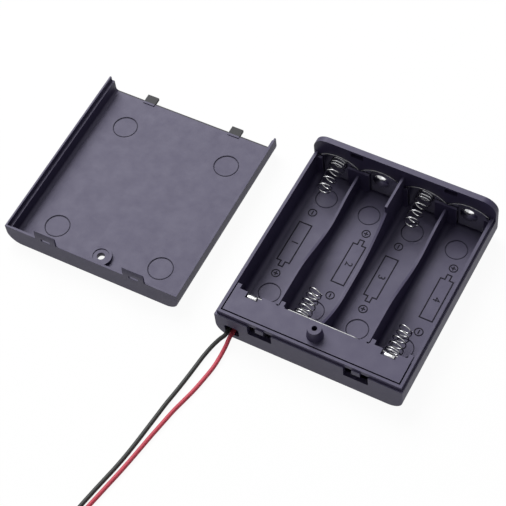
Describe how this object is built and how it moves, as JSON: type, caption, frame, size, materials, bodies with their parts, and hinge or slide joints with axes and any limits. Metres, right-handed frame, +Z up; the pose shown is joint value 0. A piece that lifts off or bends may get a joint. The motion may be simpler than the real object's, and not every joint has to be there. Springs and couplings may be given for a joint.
{
  "type": "cylindrical cell holder",
  "caption": "Closed-box holder for AA cells in series, with its cover taken off, contact springs, a slide switch underneath and two leads.",
  "frame": {"origin": "centre of the underside of the case, on the surface that it stands on", "axes": "+X along the wire end towards its right, +Y away from the wire end to the tall end wall, +Z up out of the open bays"},
  "size_m": [0.1428, 0.1748, 0.0187],
  "materials": {
    "moulding": "fine satin texture",
    "nickel": "bright nickel plate",
    "switch_metal": "plated sheet",
    "switch_board": "laminate",
    "switch_plastic": "satin",
    "red_insulation": "soft gloss",
    "black_insulation": "soft gloss",
    "tinned": "tinned strands"
  },
  "bodies": {
    "holder": {"case": "moulding", "deck_plate": "moulding", "cover": "moulding", "far_contact_12": "nickel", "far_contact_34": "nickel", "near_contact_1": "nickel", "near_contact_23": "nickel", "near_contact_4": "nickel", "far_spring_1": "nickel", "near_spring_2": "nickel", "far_spring_3": "nickel", "near_spring_4": "nickel", "switch_frame": "switch_metal", "switch_base": "switch_board", "switch_terminal_1": "switch_metal", "switch_terminal_2": "switch_metal", "switch_terminal_3": "switch_metal", "red_lead": "red_insulation", "black_lead": "black_insulation", "red_lead_inside": "red_insulation", "black_lead_inside": "black_insulation", "switch_jumper": "black_insulation", "red_lead_tip": "tinned", "black_lead_tip": "tinned"},
    "switch_slide": {"switch_slider": "switch_plastic", "switch_wiper": "switch_metal"}
  },
  "joints": [
    {"name": "switch_travel", "type": "slide", "parent": "holder", "child": "switch_slide", "axis": [1, 0, 0], "range_m": [0, 0.0025]}
  ]
}
